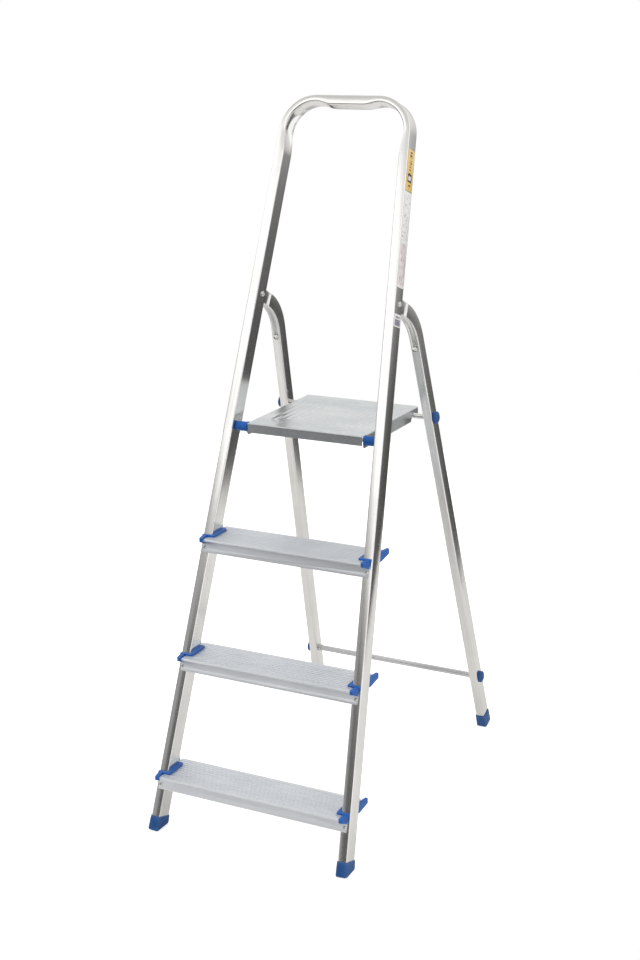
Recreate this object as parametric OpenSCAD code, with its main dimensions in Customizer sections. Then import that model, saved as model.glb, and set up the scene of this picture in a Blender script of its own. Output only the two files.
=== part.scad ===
// Folding platform step ladder: three treads and a platform on a bent-tube
// front frame, with a rear frame that hinges inside the two stiles.
// Millimetres. +Z is up, X runs across the ladder, the user climbs facing +Y.
// The origin lies on the floor, in the middle of the open ladder's footprint.

/* [Front frame] */
// Length of the front frame, measured along its leaning face
frame_len = 1576; // [1540:2:1640]
// Half of the front frame's outside width at floor level
base_half_w = 231; // [222:1:240]
// Backward lean of the front frame, in degrees
front_lean = 19; // [18:0.5:20]
// Sideways slope of each stile, in degrees
side_slope = 3.1; // [2.6:0.1:3.4]
// Width of the stile tube, across the ladder
stile_w = 20; // [19:0.5:21]
// Depth of the stile tube, front to rear
stile_d = 40; // [38:1:42]
// Centre-line radius of the two bends at the top
hoop_r = 68; // [60:1:76]

/* [Treads and platform] */
// Height of the lowest tread's top surface
first_tread = 120; // [115:1:125]
// Height from one tread to the next
tread_pitch = 240; // [235:1:245]
// Height of the platform's top surface
platform_h = 830; // [820:1:840]
// Depth of a tread, front to rear
tread_depth = 100; // [96:1:104]
// How far a tread's nose stands in front of the stiles
nose_reach = 26; // [22:1:28]
// Width of the platform
platform_w = 270; // [260:2:276]
// Depth of the platform, front to rear
platform_d = 283; // [275:1:290]

/* [Rear frame] */
// Forward lean of the rear legs, in degrees
rear_lean = 16.4; // [15.5:0.1:17.5]
// Depth of a rear leg tube, front to rear
leg_d = 30; // [28:1:32]
// Distance of the fold hinge from the floor, along the stile
hinge_along = 1156; // [1140:1:1170]
// Bend at the top of each rear leg, in degrees
leg_bend = 45.6; // [43:0.1:48]
// Height of the crossbar's centre
crossbar_h = 140; // [120:1:200]
// Diameter of the crossbar
crossbar_dia = 13; // [12:0.5:14]
// Diameter of the rod that the platform rests on
rest_rod_dia = 12; // [11:0.5:13]

/* [Fittings] */
// Diameter of the fold hinge pins
hinge_pin_dia = 8; // [6:0.5:9]
// Diameter of the platform's pivot rod
pivot_rod_dia = 8; // [6:0.5:9]
// Diameter of the plastic bushes beside the platform
bush_dia = 20; // [16:1:22]
// Diameter of the plastic caps on the rear legs
cap_dia = 27; // [20:1:28]
// Length of a plastic foot along its leg
foot_len = 33; // [28:1:40]

/* [Hidden] */
$fn = 48;

LEFT = -1;
RIGHT = 1;
far = 2000;

aluminium = "lightgray";
zinc = "darkgray";
plastic = "royalblue";

// Tube walls
stile_wall = 1.5;
stile_corner = 2.5;
inner_corner = 1;
swell = 0.05;
seat = 0.5;
leg_wall = 1.2;
leg_corner = 2.5;
gap = 0.1;
run_gap = 0.06;

// Stile geometry. "Along" is measured up the leaning face from the floor.
lean_tan = tan(front_lean);
slope_sin = sin(side_slope);
slope_cos = cos(side_slope);
stile_start = 19;
hoop_drop = stile_w / 2 + hoop_r;
stile_end = to_grid((frame_len - hoop_drop + hoop_drop * slope_sin) / slope_cos);
hoop_x = to_grid(base_half_w - hoop_drop * slope_cos - stile_end * slope_sin);

// Lengths of touching tube parts are kept on a 0.01 mm grid so that they meet
function to_grid(v) = round(v * 100) / 100;

function along(z) = z / cos(front_lean);
function stile_mid_x(a) =
    base_half_w - (stile_w / 2) * slope_cos
    - (a + (stile_w / 2) * slope_sin) * slope_sin / slope_cos;
function outer_x(z) = base_half_w - along(z) * slope_sin / slope_cos;

// Fold hinge
hinge_deep = 26;
hinge_y = hinge_along * sin(front_lean) + hinge_deep * cos(front_lean);
hinge_z = hinge_along * cos(front_lean) - hinge_deep * sin(front_lean);
hinge_x = stile_mid_x(hinge_along);

// Rear leg: straight arm from the hinge, one bend, straight leg to the floor
arm_reach = 93.5;
leg_bend_r = 115;
leg_y = to_grid(arm_reach * sin(leg_bend));
bend_tangent = leg_bend_r * tan(leg_bend / 2);
arm_len = to_grid(arm_reach - bend_tangent);
bend_z = to_grid(-arm_reach * cos(leg_bend) - bend_tangent);
leg_w = stile_w;
leg_front = leg_y - leg_d / 2;
leg_end = to_grid((4 - hinge_z - leg_front * sin(rear_lean)) / cos(rear_lean));
leg_floor = -(hinge_z + (leg_y + leg_d / 2) * sin(rear_lean)) / cos(rear_lean);
arm_neck_w = 15.6;
arm_neck_len = 40;
rest_rod_z = -301.4;
crossbar_z = (crossbar_h - hinge_z - leg_y * sin(rear_lean)) / cos(rear_lean);

// A rear-frame point (y, z from the hinge) in the open ladder's own axes
function rear_y(y, z) = hinge_y + y * cos(rear_lean) - z * sin(rear_lean);
function rear_z(y, z) = hinge_z + y * sin(rear_lean) + z * cos(rear_lean);
function leg_mid_x(z) = hinge_x - z * slope_sin / slope_cos;

// Feet, and the middle of the footprint. A rear foot's sole is square to its
// leg, and only its front strip is flat on the floor.
foot_wall = 2;
sole_dip = 3;
rear_sole_z = leg_floor + leg_d * tan(rear_lean) - sole_dip;
heel_y = rear_y(leg_y + leg_d / 2 + foot_wall, rear_sole_z);
mid_y = (heel_y - foot_wall / cos(front_lean)) / 2;

// Treads
plate_t = 2.2;
rib_h = 0.8;
rib_w = 4.4;
rib_pitch = 8;
nose_h = 5;
fascia_drop = 33;
fascia_t = 2;
rear_lip = 20;
front_inset = 14.2;
rear_inset = 11.6;
rivet_down = 26;
rivet_dia = 4.8;

// Tread clips: a low collar round three sides of the stile, with a horn
// along the tread's nose and a fin along its rear corner
rim_h = 3.2;
rim_w = 8;
horn_drop = 16;
fin_drop = 17;

// Platform tray and its pivot
sheet_t = 1.2;
front_flange = 21;
side_flange = 27;
platform_set = 8.5;
platform_y = platform_h * lean_tan + platform_set;
pivot_set = 9.5;
pivot_drop = 11;
pivot_y = platform_y + pivot_set;
pivot_z = platform_h - pivot_drop;
pivot_along = pivot_y * sin(front_lean) + pivot_z * cos(front_lean);
pivot_deep = pivot_y * cos(front_lean) - pivot_z * sin(front_lean);
pivot_wall_x = stile_mid_x(pivot_along) - stile_w / 2 / slope_cos;
rest_y = rear_y(leg_y, rest_rod_z);
rest_z = rear_z(leg_y, rest_rod_z);

// ---- Placement helpers ------------------------------------------------

module open_ladder() {
    translate([0, -mid_y, 0]) children();
}

// Axes of the leaning front frame: y = depth from the front face, z = along
module on_front() {
    open_ladder() rotate([-front_lean, 0, 0]) children();
}

// Axes of one stile: x = 0 on its outer face, negative towards the middle
module on_stile(side) {
    on_front() mirror([side < 0 ? 1 : 0, 0, 0])
        translate([base_half_w, 0, 0]) rotate([0, -side_slope, 0]) children();
}

// Axes of the rear frame, from the fold hinge
module on_rear() {
    open_ladder() translate([0, hinge_y, hinge_z])
        rotate([rear_lean, 0, 0]) children();
}

// Axes of one rear leg: x = 0 on its middle, positive outwards
module on_leg(side) {
    on_rear() mirror([side < 0 ? 1 : 0, 0, 0])
        translate([hinge_x, 0, 0]) rotate([0, -side_slope, 0]) children();
}

// Axes of one tread: origin where its top plane meets the stiles' front face
module on_tread(i) {
    z = tread_z(i);
    open_ladder() translate([0, z * lean_tan, z]) children();
}

function tread_z(i) = first_tread + (i - 1) * tread_pitch;

module above_floor() {
    intersection() {
        children();
        translate([-far / 2, -far / 2, 0]) cube([far, far, far]);
    }
}

// ---- Shared shapes ----------------------------------------------------

// Rectangle with round corners, from the origin to [w, d]
module round_rect(w, d, r) {
    translate([r, 0]) square([w - 2 * r, d]);
    translate([0, r]) square([w, d - 2 * r]);
    for (x = [r, w - r], y = [r, d - r]) translate([x, y]) circle(r);
}

// Straight bar of width w with round ends, in plan
module bar(from, to, w) {
    run = to - from;
    translate(from) rotate(atan2(run[1], run[0])) {
        translate([0, -w / 2]) square([norm(run), w]);
        circle(w / 2);
        translate([norm(run), 0]) circle(w / 2);
    }
}

module cylinder_x(d, from, to) {
    translate([from, 0, 0]) rotate([0, 90, 0]) cylinder(d = d, h = to - from);
}

// Low dome head on the plane x = 0, standing towards +x
module dome_x(d, h) {
    r = (d * d / 4 + h * h) / (2 * h);
    rotate([0, 90, 0]) rotate_extrude() intersection() {
        translate([0, h - r]) circle(r, $fn = 96);
        square([d / 2, h]);
    }
}

// ---- Front frame ------------------------------------------------------

// The stile tube's outline shrunk by "in" on every side
module stile_outline(in) {
    translate([in, in])
        round_rect(stile_w - 2 * in, stile_d - 2 * in,
            in < stile_wall / 2 ? stile_corner : inner_corner);
}

// A length of stile tube, from z = 0 upwards
module stile_run(in, len) {
    translate([-stile_w, 0, 0]) linear_extrude(len) stile_outline(in);
}

// One bend of the hoop, from upwards to across; bending swells the tube a little
module hoop_bend(in) {
    translate([-hoop_drop, 0, 0]) rotate([90, 0, 0])
        rotate_extrude(angle = 90 - side_slope, $fn = 96)
            translate([hoop_r - stile_w / 2, -stile_d]) stile_outline(in - swell);
}

// Axes of the tube after a bend: z points along it again
module past_bend() {
    translate([-hoop_drop, 0, 0]) rotate([0, side_slope - 90, 0])
        translate([hoop_drop, 0, 0]) children();
}

// Right stile, bend, top bar, bend and left stile in turn
module front_path(in, start) {
    run = stile_end - start + seat;
    translate([base_half_w, 0, 0]) rotate([0, -side_slope, 0]) {
        translate([0, 0, start]) stile_run(in, run);
        translate([0, 0, stile_end]) {
            hoop_bend(in);
            past_bend() {
                translate([0, 0, -seat]) stile_run(in, 2 * (hoop_x + seat));
                translate([0, 0, 2 * hoop_x]) {
                    hoop_bend(in);
                    past_bend() translate([0, 0, -seat]) stile_run(in, run);
                }
            }
        }
    }
}

// Window in the stile's rear wall where the rear leg's arm swings
module hinge_window() {
    window_w = stile_w - 2 * stile_wall - 0.4;
    window_up = 17;
    window_down = 37;
    translate([-stile_w / 2 - window_w / 2, stile_d / 2, hinge_along / slope_cos - window_down])
        cube([window_w, stile_d, window_up + window_down]);
}

module front_frame() {
    color(aluminium) difference() {
        on_front() difference() {
            front_path(0, stile_start);
            front_path(stile_wall, stile_start - 10);
        }
        for (side = [LEFT, RIGHT]) {
            on_stile(side) hinge_window();
            on_front() mirror([side < 0 ? 1 : 0, 0, 0]) {
                translate([0, hinge_deep, hinge_along])
                    cylinder_x(hinge_pin_dia + gap, hinge_x - stile_w, hinge_x + stile_w);
                translate([0, pivot_deep, pivot_along])
                    cylinder_x(pivot_rod_dia + gap, pivot_wall_x - 10, pivot_wall_x + 6);
            }
            for (i = [1:3]) on_rivet(i, side)
                translate([0, 0, -6]) cylinder(d = rivet_dia + gap, h = 12);
        }
    }
}

// ---- Treads -----------------------------------------------------------

// Axes of one tread rivet: z points out of the stile's front face
module on_rivet(i, side) {
    a = along(tread_z(i)) - rivet_down;
    on_front() translate([side * stile_mid_x(a), 0, a])
        rotate([90, 0, 0]) children();
}

// Extrude a profile drawn in [y, z] across the ladder, half length x
module across(half) {
    translate([-half, 0, 0]) rotate([90, 0, 90])
        linear_extrude(2 * half) children();
}

// Ribbed plate with a round nose and a rear lip; z = 0 on the rib tops
module plate_profile() {
    front = -nose_reach;
    rear = tread_depth - nose_reach;
    ribs = floor((tread_depth - 14) / rib_pitch);
    translate([front + nose_h, -rib_h - plate_t])
        square([tread_depth - nose_h, plate_t]);
    translate([front + nose_h / 2, -nose_h / 2]) circle(nose_h / 2);
    translate([front + nose_h / 2, -nose_h]) square([nose_h, nose_h]);
    for (k = [0:ribs]) translate([front + nose_h * 1.5 + 2 + k * rib_pitch, -rib_h - 0.1])
        square([rib_w, rib_h + 0.1]);
    translate([rear - fascia_t, -rear_lip]) square([fascia_t, rear_lip - rib_h]);
}

// Sloping fascia that lies flat on the stiles' front faces
module fascia_profile() {
    top = -rib_h - plate_t / 2;
    back = -gap / cos(front_lean);
    front = back - fascia_t / cos(front_lean);
    polygon([
        [top * lean_tan + back, top], [-fascia_drop * lean_tan + back, -fascia_drop],
        [-fascia_drop * lean_tan + front, -fascia_drop], [top * lean_tan + front, top]
    ]);
}

module tread(i) {
    half = outer_x(tread_z(i));
    notch_in = stile_w + 2.2;
    notch_rear = stile_d / cos(front_lean) + 1.2;
    fascia_inset = 4;
    color(aluminium) difference() {
        on_tread(i) {
            difference() {
                across(half - rear_inset) plate_profile();
                for (side = [0, 1]) mirror([side, 0, 0]) {
                    translate([half - notch_in, -1.2, -nose_h - rear_lip])
                        cube([notch_in, notch_rear + 1.2, far]);
                    translate([half - front_inset, -nose_reach - 1, -nose_h - rear_lip])
                        cube([notch_in, nose_reach + 2, far]);
                }
            }
            across(half - fascia_inset) fascia_profile();
        }
        for (side = [LEFT, RIGHT]) on_rivet(i, side)
            cylinder(d = rivet_dia + gap, h = 6);
    }
}

module tread_1() tread(1);
module tread_2() tread(2);
module tread_3() tread(3);

// Blind rivets that hold each fascia to the stiles
module tread_rivets() {
    head_h = 1.8;
    head_dia = 8;
    color(zinc) for (i = [1:3], side = [LEFT, RIGHT]) on_rivet(i, side) {
        translate([0, 0, -5]) cylinder(d = rivet_dia, h = 5 + fascia_t + gap);
        translate([0, 0, fascia_t + gap]) rotate([0, -90, 0]) dome_x(head_dia, head_h);
    }
}

// One clip, for the right end; u runs inwards from the stile's outer face
module clip_plan(u_w_from, u_w_to, w) {
    mirror([1, 0]) bar(u_w_from, u_w_to, w);
}

module side_slab(points) {
    rotate([90, 0, 90]) translate([0, 0, -60]) linear_extrude(80) polygon(points);
}

module tread_clip(i, side) {
    half = outer_x(tread_z(i));
    rear_face = stile_d / cos(front_lean);
    tail = tread_depth - nose_reach;
    inner = stile_w + rim_w / 2 + 0.8;
    color(plastic) difference() {
        on_tread(i) mirror([side < 0 ? 1 : 0, 0, 0]) translate([half, 0, 0]) {
            // Collar on top of the tread
            linear_extrude(rim_h) {
                clip_plan([rim_w / 2, -rim_w / 2], [inner, -rim_w / 2], rim_w);
                clip_plan([inner, -rim_w / 2], [inner, rear_face + 4], rim_w);
                clip_plan([inner, rear_face + 4], [rim_w, rear_face + 4], rim_w);
            }
            // Horn beside the nose, and its cheek down to the fascia
            intersection() {
                translate([0, 0, -40]) linear_extrude(80) {
                    clip_plan([7, -4], [9.8, -nose_reach], rim_w);
                    clip_plan([6, -4], [9, -4], rim_w);
                }
                side_slab([
                    [1, rim_h], [-nose_reach - 5, rim_h - 1], [-nose_reach - 5, -nose_h],
                    [-8.4, -horn_drop], [-3.6, -1.5], [1, -1.5]
                ]);
                // The cheek narrows downwards, away from the tread
                rotate([90, 0, 0]) translate([0, 0, -5]) linear_extrude(50) polygon([
                    [-20, rim_h + 1], [0, rim_h + 1], [0, -horn_drop - 1],
                    [-4, -horn_drop - 1], [-14, -6], [-20, -1]
                ]);
            }
            // Fin that stands out behind the stile's rear corner
            intersection() {
                translate([0, 0, -40]) linear_extrude(80)
                    clip_plan([5.5, rear_face + 3], [0.6, tail], 7);
                side_slab([
                    [rear_face, rim_h], [tail + 2, rim_h], [tail + 5, -6],
                    [rear_face + 3, -fin_drop], [rear_face, -fin_drop]
                ]);
            }
        }
        // The stile passes through
        on_stile(side) translate([-stile_w - 0.15, -0.15, 0])
            cube([stile_w + 0.3, stile_d + 0.3, stile_end]);
    }
}

module tread_clip_1_left() tread_clip(1, LEFT);
module tread_clip_1_right() tread_clip(1, RIGHT);
module tread_clip_2_left() tread_clip(2, LEFT);
module tread_clip_2_right() tread_clip(2, RIGHT);
module tread_clip_3_left() tread_clip(3, LEFT);
module tread_clip_3_right() tread_clip(3, RIGHT);

// ---- Platform ---------------------------------------------------------

// Side flange in [y, z], with an open saddle that drops over the rest rod. The
// saddle's mouth flares forward, because the rod leaves it downwards and forwards.
module side_flange_profile() {
    half_saddle = rest_rod_dia / 2 + 0.3;
    flare = 9;
    rod_y = rest_y - platform_y;
    rod_z = rest_z - platform_h;
    mouth_z = -side_flange - 1;
    difference() {
        polygon([
            [0, 0], [platform_d, 0], [platform_d, -side_flange / 2 - 4],
            [platform_d - 34, -side_flange], [4, -side_flange], [0, -front_flange]
        ]);
        translate([rod_y, rod_z]) circle(half_saddle);
        polygon([
            [rod_y - half_saddle, rod_z], [rod_y + half_saddle, rod_z],
            [rod_y + half_saddle, mouth_z], [rod_y - half_saddle - flare, mouth_z]
        ]);
        translate([pivot_set, -pivot_drop]) circle(pivot_rod_dia / 2 + run_gap);
    }
}

module platform() {
    half = platform_w / 2;
    color(zinc) open_ladder() translate([0, platform_y, platform_h]) {
        translate([-half, 0, -sheet_t]) cube([platform_w, platform_d, sheet_t]);
        translate([-half, 0, -front_flange]) cube([platform_w, sheet_t, front_flange]);
        translate([-half, platform_d - sheet_t, -12]) cube([platform_w, sheet_t, 12]);
        for (side = [0, 1]) mirror([side, 0, 0])
            translate([half - sheet_t, 0, 0]) rotate([90, 0, 90])
                linear_extrude(sheet_t) side_flange_profile();
    }
}

module at_pivot() {
    open_ladder() translate([0, pivot_y, pivot_z]) children();
}

// Plain rod through the platform's flanges and the stiles' inner walls
module platform_pivot_rod() {
    end_x = pivot_wall_x + stile_wall + 5;
    color(zinc) at_pivot() cylinder_x(pivot_rod_dia, -end_x, end_x);
}

// Push-on washers on the rod's ends, inside the stile tubes
module pivot_rod_retainers() {
    from = pivot_wall_x + stile_wall + 1.2;
    color(zinc) at_pivot() for (side = [0, 1]) mirror([side, 0, 0]) difference() {
        cylinder_x(15, from, from + 1.5);
        cylinder_x(pivot_rod_dia, from - 1, from + 3);
    }
}

module platform_bush(side) {
    from = platform_w / 2 + 0.3;
    to = pivot_wall_x - 0.9;
    color(plastic) at_pivot() mirror([side < 0 ? 1 : 0, 0, 0]) difference() {
        union() {
            cylinder_x(bush_dia, from, to);
            cylinder_x(bush_dia + 2, from, from + 3);
        }
        cylinder_x(pivot_rod_dia + gap, from - 1, to + 1);
    }
}

module platform_bush_left() platform_bush(LEFT);
module platform_bush_right() platform_bush(RIGHT);

// ---- Rear frame -------------------------------------------------------

module leg_outline(in, w) {
    translate([-w / 2 + in, -leg_d / 2 + in])
        round_rect(w - 2 * in, leg_d - 2 * in,
            in < leg_wall / 2 ? leg_corner : inner_corner);
}

// Leg tube from the floor end to the hinge end, shrunk by "in"
module leg_path(in, extra) {
    neck_from = arm_len - arm_neck_len;
    translate([0, leg_y, leg_end - extra])
        linear_extrude(bend_z - leg_end + extra + seat) leg_outline(in, leg_w);
    translate([0, leg_y - leg_bend_r, bend_z]) {
        rotate([90, 0, 90]) rotate_extrude(angle = leg_bend, $fn = 96)
            translate([leg_bend_r, 0]) rotate(90)
                leg_outline(in - swell, leg_w);
        // Arm, with a narrower neck and a round end at the hinge
        rotate([leg_bend, 0, 0]) translate([0, leg_bend_r, 0]) {
            translate([0, 0, -seat])
                linear_extrude(neck_from + in + seat) leg_outline(in, leg_w);
            translate([0, 0, neck_from - 1])
                linear_extrude(arm_neck_len + 1) leg_outline(in + swell, arm_neck_w);
            translate([0, 0, arm_len])
                cylinder_x(leg_d - 2 * in, in - arm_neck_w / 2, arm_neck_w / 2 - in);
        }
    }
}

module rear_leg(side) {
    color(aluminium) difference() {
        on_leg(side) difference() {
            leg_path(0, 0);
            leg_path(leg_wall, 10);
        }
        on_rear() {
            cylinder_x(hinge_pin_dia + 2 * run_gap, -far / 2, far / 2);
            translate([0, leg_y, rest_rod_z])
                cylinder_x(rest_rod_dia + gap, -far / 2, far / 2);
            translate([0, leg_y, crossbar_z])
                cylinder_x(crossbar_dia + gap, -far / 2, far / 2);
        }
    }
}

module rear_leg_left() rear_leg(LEFT);
module rear_leg_right() rear_leg(RIGHT);

// Half length of a rod that ends level with the legs' outer faces
function rod_half(z) = leg_mid_x(z) + leg_w / 2 / slope_cos - 1;

module platform_rest_rod() {
    half = rod_half(rest_rod_z);
    wall = 1.5;
    color(zinc) on_rear() translate([0, leg_y, rest_rod_z]) difference() {
        cylinder_x(rest_rod_dia, -half, half);
        cylinder_x(rest_rod_dia - 2 * wall, -half - 1, half + 1);
    }
}

// Round tube with a shallow groove along its front
module rear_crossbar() {
    half = rod_half(crossbar_z);
    wall = 1.5;
    groove_w = 2.4;
    color(aluminium) on_rear() translate([0, leg_y, crossbar_z]) difference() {
        cylinder_x(crossbar_dia, -half, half);
        cylinder_x(crossbar_dia - 2 * wall, -half - 1, half + 1);
        translate([-half + 24, -crossbar_dia / 2 - 1, -groove_w / 2])
            cube([2 * half - 48, 1.7, groove_w]);
    }
}

// Domed cap on a leg's outer face, with a stem in the rod's end
module leg_cap(side, z, rod_dia) {
    skirt = 5.6;
    dome_h = 4.2;
    stem = 9;
    color(plastic) on_leg(side)
        translate([leg_w / 2 + gap, leg_y, z / slope_cos]) {
            cylinder_x(cap_dia, 0, skirt);
            translate([skirt, 0, 0]) dome_x(cap_dia, dome_h);
            cylinder_x(rod_dia - 4.4, -stem, 0.5);
        }
}

module rest_rod_cap_left() leg_cap(LEFT, rest_rod_z, rest_rod_dia);
module rest_rod_cap_right() leg_cap(RIGHT, rest_rod_z, rest_rod_dia);
module crossbar_cap_left() leg_cap(LEFT, crossbar_z, crossbar_dia);
module crossbar_cap_right() leg_cap(RIGHT, crossbar_z, crossbar_dia);

// Collar that locates the crossbar against a leg's inner face
module crossbar_collar(side) {
    to = leg_mid_x(crossbar_z) - leg_w / 2 - 0.8;
    color(zinc) on_rear() mirror([side < 0 ? 1 : 0, 0, 0])
        translate([0, leg_y, crossbar_z]) difference() {
            cylinder_x(crossbar_dia + 4, to - 6, to);
            cylinder_x(crossbar_dia + gap, to - 7, to + 1);
        }
}

module crossbar_collar_left() crossbar_collar(LEFT);
module crossbar_collar_right() crossbar_collar(RIGHT);

// Hinge pin, with a dome head on each side face of the stile
module hinge_pin(side) {
    head_dia = 11;
    head_h = 2.4;
    reach = stile_w / 2 / slope_cos + 0.5;
    color(zinc) on_front() mirror([side < 0 ? 1 : 0, 0, 0])
        translate([hinge_x, hinge_deep, hinge_along]) {
            cylinder_x(hinge_pin_dia, -reach, reach);
            translate([reach - 0.1, 0, 0]) dome_x(head_dia, head_h);
            mirror([1, 0, 0]) translate([reach - 0.1, 0, 0]) dome_x(head_dia, head_h);
        }
}

module hinge_pin_left() hinge_pin(LEFT);
module hinge_pin_right() hinge_pin(RIGHT);

// ---- Feet -------------------------------------------------------------

module foot_front(side) {
    color(plastic) above_floor() on_stile(side) difference() {
        translate([-stile_w - foot_wall, -foot_wall, -20])
            linear_extrude(foot_len + 20)
                round_rect(stile_w + 2 * foot_wall, stile_d + 2 * foot_wall, 4);
        translate([-stile_w, 0, stile_start]) linear_extrude(foot_len)
            translate([-gap, -gap])
                round_rect(stile_w + 2 * gap, stile_d + 2 * gap, stile_corner);
    }
}

module foot_rear(side) {
    wide = leg_w + 2 * foot_wall;
    deep = leg_d + 2 * foot_wall;
    color(plastic) above_floor() on_leg(side)
        translate([-leg_w / 2 - foot_wall, leg_y - leg_d / 2 - foot_wall, 0])
            difference() {
                translate([0, 0, rear_sole_z])
                    linear_extrude(foot_len) round_rect(wide, deep, 4);
                translate([foot_wall - gap, foot_wall - gap, leg_end])
                    linear_extrude(far)
                        round_rect(leg_w + 2 * gap, leg_d + 2 * gap, leg_corner);
            }
}

module foot_front_left() foot_front(LEFT);
module foot_front_right() foot_front(RIGHT);
module foot_rear_left() foot_rear(LEFT);
module foot_rear_right() foot_rear(RIGHT);

// ---- Stickers on the right stile's outer face ----------------------------

module sticker(from, to, tint) {
    margin = 3.5;
    film = 0.3;
    color(tint) on_stile(RIGHT) translate([gap / 2, margin, from])
        cube([film, stile_d - 2 * margin, to - from]);
}

module name_sticker() sticker(1388, 1472, "gold");
module safety_sticker() sticker(1190, 1386, "white");
module code_sticker() sticker(1110, 1136, "white");

// ---- Assembly ---------------------------------------------------------

front_frame();
tread_1();
tread_2();
tread_3();
tread_clip_1_left();
tread_clip_1_right();
tread_clip_2_left();
tread_clip_2_right();
tread_clip_3_left();
tread_clip_3_right();
tread_rivets();
platform();
platform_pivot_rod();
pivot_rod_retainers();
platform_bush_left();
platform_bush_right();
platform_rest_rod();
rest_rod_cap_left();
rest_rod_cap_right();
rear_leg_left();
rear_leg_right();
rear_crossbar();
crossbar_cap_left();
crossbar_cap_right();
crossbar_collar_left();
crossbar_collar_right();
hinge_pin_left();
hinge_pin_right();
foot_front_left();
foot_front_right();
foot_rear_left();
foot_rear_right();
name_sticker();
safety_sticker();
code_sticker();
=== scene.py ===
# Folding platform step ladder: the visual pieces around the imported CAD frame.
# Metres. +Z is up, X runs across the ladder, the treads face -Y.
from math import cos, pi, radians, sin, sqrt, tan

import bmesh
import bpy
from mathutils import Matrix, Vector


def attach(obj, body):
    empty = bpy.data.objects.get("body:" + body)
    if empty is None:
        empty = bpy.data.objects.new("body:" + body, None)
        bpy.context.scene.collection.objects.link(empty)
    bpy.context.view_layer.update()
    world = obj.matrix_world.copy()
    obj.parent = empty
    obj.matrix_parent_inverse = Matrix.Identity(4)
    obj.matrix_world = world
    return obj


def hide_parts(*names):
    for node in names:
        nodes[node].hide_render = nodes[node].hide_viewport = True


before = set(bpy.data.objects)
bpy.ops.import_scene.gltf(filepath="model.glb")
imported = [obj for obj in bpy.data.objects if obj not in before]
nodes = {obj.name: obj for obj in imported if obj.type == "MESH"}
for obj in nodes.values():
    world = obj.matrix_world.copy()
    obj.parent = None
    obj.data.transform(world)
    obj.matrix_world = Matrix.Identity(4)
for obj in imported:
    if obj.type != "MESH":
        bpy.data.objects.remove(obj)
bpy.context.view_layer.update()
scene = bpy.context.scene

MM = 0.001

# ---- Dimensions from part.scad, in millimetres and radians ----------------------------

MID_Y = 401.7844
FRONT_LEAN = radians(19)
SIDE_SLOPE = radians(3.1)
REAR_LEAN = radians(16.4)

BASE_HALF_W = 231
FRAME_LEN = 1576
STILE_W, STILE_D = 20, 40
STILE_START, STILE_END = 19, 1504.42
HOOP_X, HOOP_DROP = 71.76, 78
TUBE_CORNER = 2.5

HINGE_ALONG, HINGE_DEEP = 1156, 26
HINGE_X, HINGE_Y, HINGE_Z = 158.38, 400.940, 1084.555
LEG_W, LEG_D, LEG_Y = 20, 30, 66.8
LEG_BEND, LEG_BEND_R, BEND_Z = radians(45.6), 115, -113.76
ARM_LEN, ARM_NECK_W, ARM_NECK_LEN = 45.16, 15.6, 40
LEG_END, REAR_SOLE = -1141.6, -1148.78
REST_ROD_Z = -301.4
FOOT_LEN = 33

TREADS = {1: 120, 2: 360, 3: 600}
RIVET_DOWN = 26
PLATFORM_Y, PLATFORM_H = 294.294, 830
PLATFORM_W, PLATFORM_D = 270, 283
FRONT_FLANGE, SIDE_FLANGE, SHEET = 21, 27, 1.2

LEFT, RIGHT = -1, 1
SIDES = {"left": LEFT, "right": RIGHT}


# ---- Places: each turns millimetres in one part's axes into a scene point -------------

def on_floor(x, y, z):
    """The upright axes: y is 0 where the stiles' front faces meet the floor."""
    return Vector((x, y - MID_Y, z)) * MM


def on_front(x, w, s):
    """Leaning front frame: w is the depth behind its front face, s runs up it."""
    return on_floor(x, w * cos(FRONT_LEAN) + s * sin(FRONT_LEAN),
                    s * cos(FRONT_LEAN) - w * sin(FRONT_LEAN))


def on_stile(side, u, w, t):
    """One stile: u is 0 on its outer face and negative inwards, t runs up it."""
    x = BASE_HALF_W + u * cos(SIDE_SLOPE) - t * sin(SIDE_SLOPE)
    return on_front(side * x, w, u * sin(SIDE_SLOPE) + t * cos(SIDE_SLOPE))


def on_leg(side, u, d, t):
    """One rear leg, from the fold hinge: u points outwards, d to the rear."""
    x = HINGE_X + u * cos(SIDE_SLOPE) - t * sin(SIDE_SLOPE)
    z = u * sin(SIDE_SLOPE) + t * cos(SIDE_SLOPE)
    return on_floor(side * x, HINGE_Y + d * cos(REAR_LEAN) - z * sin(REAR_LEAN),
                    HINGE_Z + d * sin(REAR_LEAN) + z * cos(REAR_LEAN))


def stile_mid_x(s):
    """How far a stile's middle is from the ladder's middle, at s up the front frame."""
    half = STILE_W / 2
    return (BASE_HALF_W - half * cos(SIDE_SLOPE)
            - (s + half * sin(SIDE_SLOPE)) * tan(SIDE_SLOPE))


# ---- Mesh helpers ---------------------------------------------------------------------

def smooth_step(x):
    """0 up to x = 0 and 1 from x = 1, with an even curve between."""
    x = min(1.0, max(0.0, x))
    return x * x * (3 - 2 * x)


def shade(obj, angle=32):
    """Smooth shading that keeps edges sharper than the angle."""
    mesh = obj.data
    mesh.shade_smooth()
    mesh.set_sharp_from_angle(angle=radians(angle))
    return obj


def add_mesh(name, points, faces, uvs=None):
    """A new object whose faces look outwards. uvs holds one pair for each point."""
    mesh = bpy.data.meshes.new(name)
    mesh.from_pydata([tuple(p) for p in points], [], faces)
    obj = bpy.data.objects.new(name, mesh)
    scene.collection.objects.link(obj)
    if uvs:
        layer = mesh.uv_layers.new(name="Length")
        for loop in mesh.loops:
            layer.data[loop.index].uv = uvs[loop.vertex_index]
    bm = bmesh.new()
    bm.from_mesh(mesh)
    bmesh.ops.recalc_face_normals(bm, faces=bm.faces)
    bm.to_mesh(mesh)
    bm.free()
    return obj


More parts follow.
